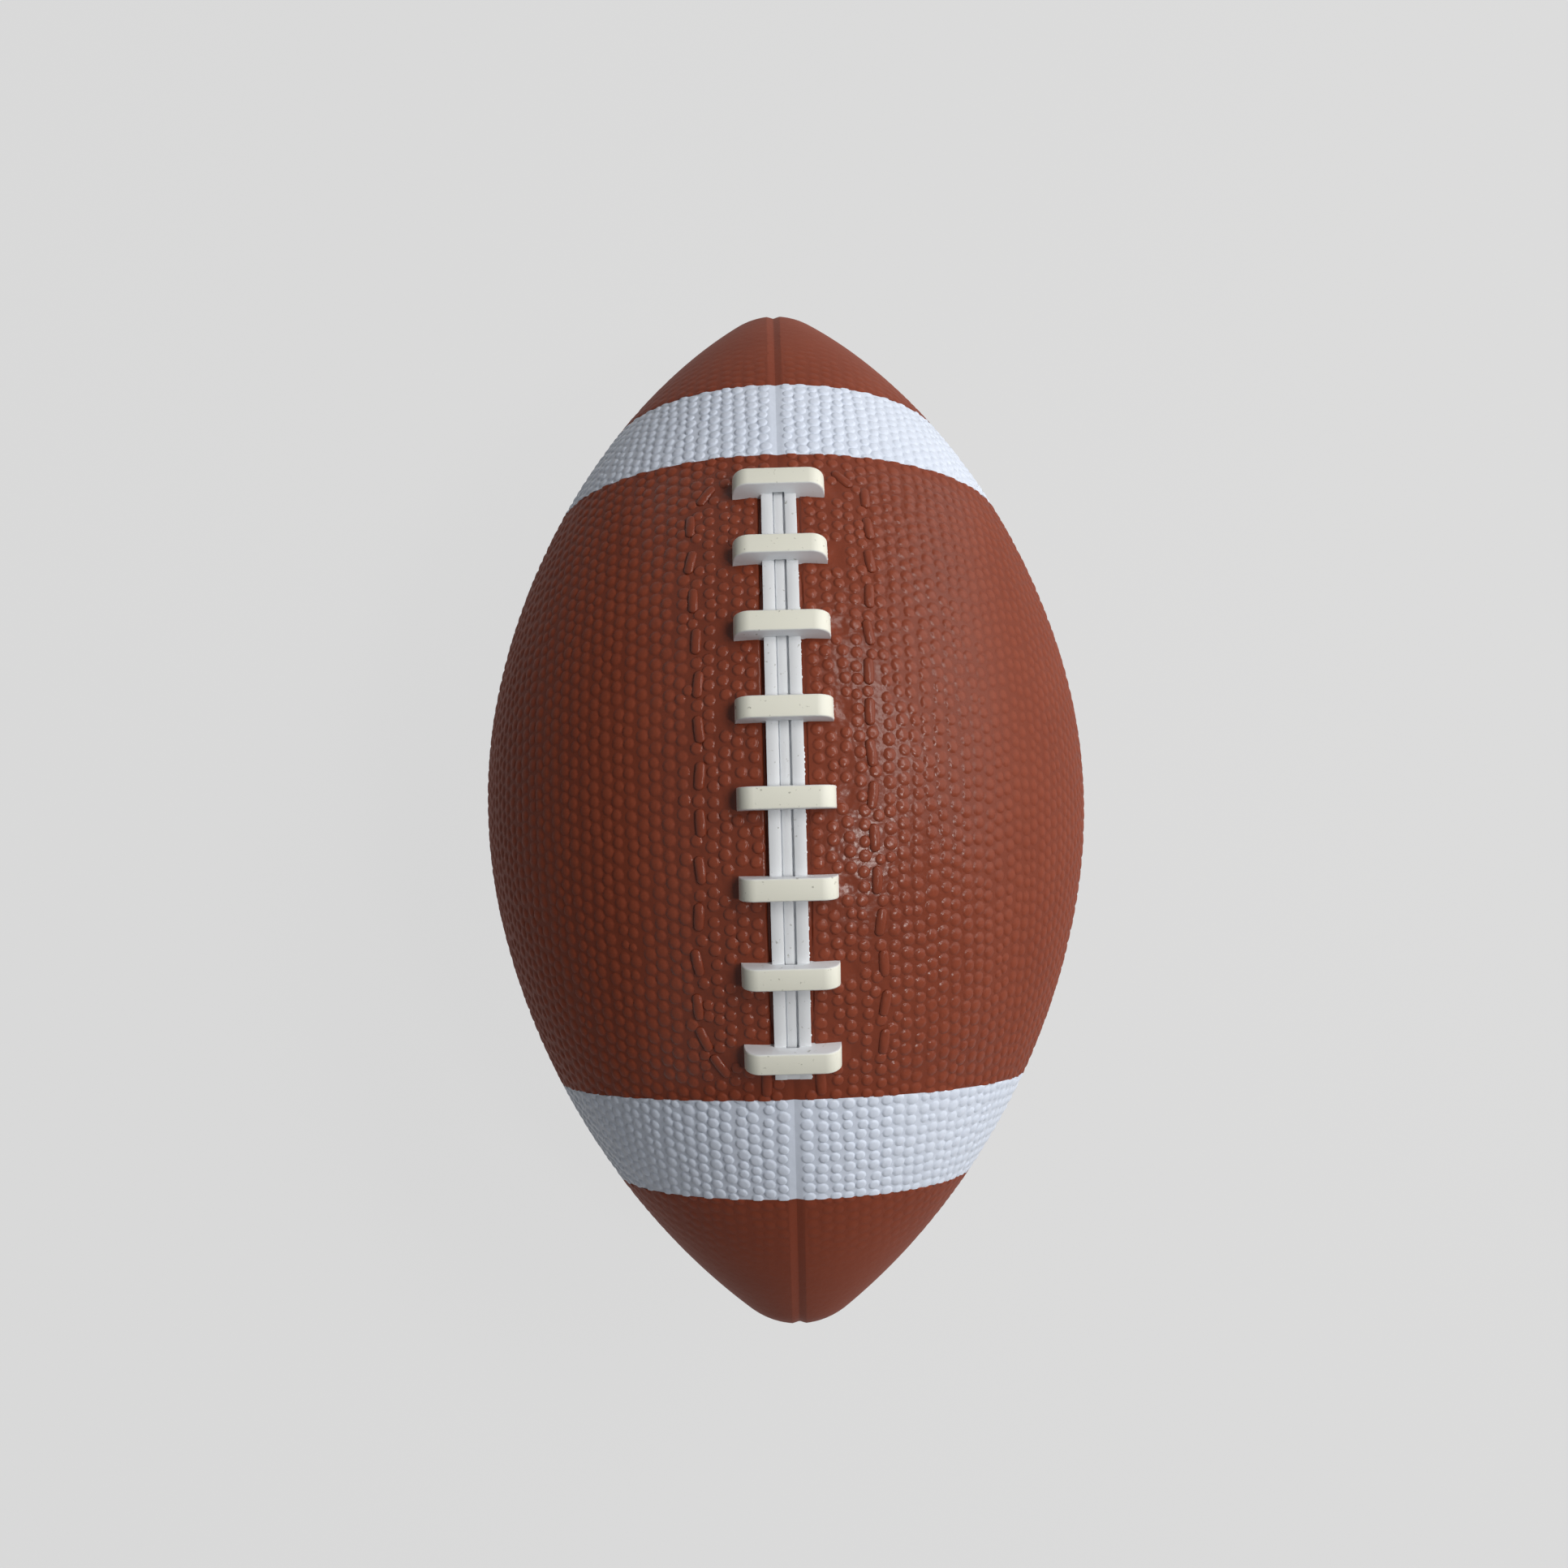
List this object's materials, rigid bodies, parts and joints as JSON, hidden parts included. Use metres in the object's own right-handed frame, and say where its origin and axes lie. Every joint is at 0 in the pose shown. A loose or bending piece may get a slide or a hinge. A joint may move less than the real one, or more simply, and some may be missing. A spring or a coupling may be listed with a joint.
{
  "type": "american football",
  "caption": "Moulded rubber American football with pebbled cover panels, white end stripes, a raised moulded lace strip and an inflation valve.",
  "frame": {"origin": "centre of the ball, on its long axis", "axes": "+Y along the long axis towards the head end, +Z out through the lace, +X to the right as seen from above the lace with the head end up"},
  "size_m": [0.17, 0.2924, 0.174],
  "materials": {
    "cover_rubber": "pebbled, satin",
    "stripe_rubber": "pebbled, satin",
    "lace_vinyl": "smooth, matt",
    "winding_nylon": "wound thread",
    "bladder_butyl": "smooth, matt",
    "valve_rubber": "smooth, satin",
    "plug_rubber": "smooth, satin"
  },
  "bodies": {
    "root": {"panel_upper_left": "cover_rubber", "panel_upper_right": "cover_rubber", "panel_lower_left": "cover_rubber", "panel_lower_right": "cover_rubber", "stripe_head_left": "stripe_rubber", "stripe_head_right": "stripe_rubber", "stripe_tail_left": "stripe_rubber", "stripe_tail_right": "stripe_rubber", "lace_strip": "lace_vinyl", "nylon_winding": "winding_nylon", "bladder": "bladder_butyl", "valve_housing": "valve_rubber", "valve_plug": "plug_rubber"}
  },
  "joints": []
}
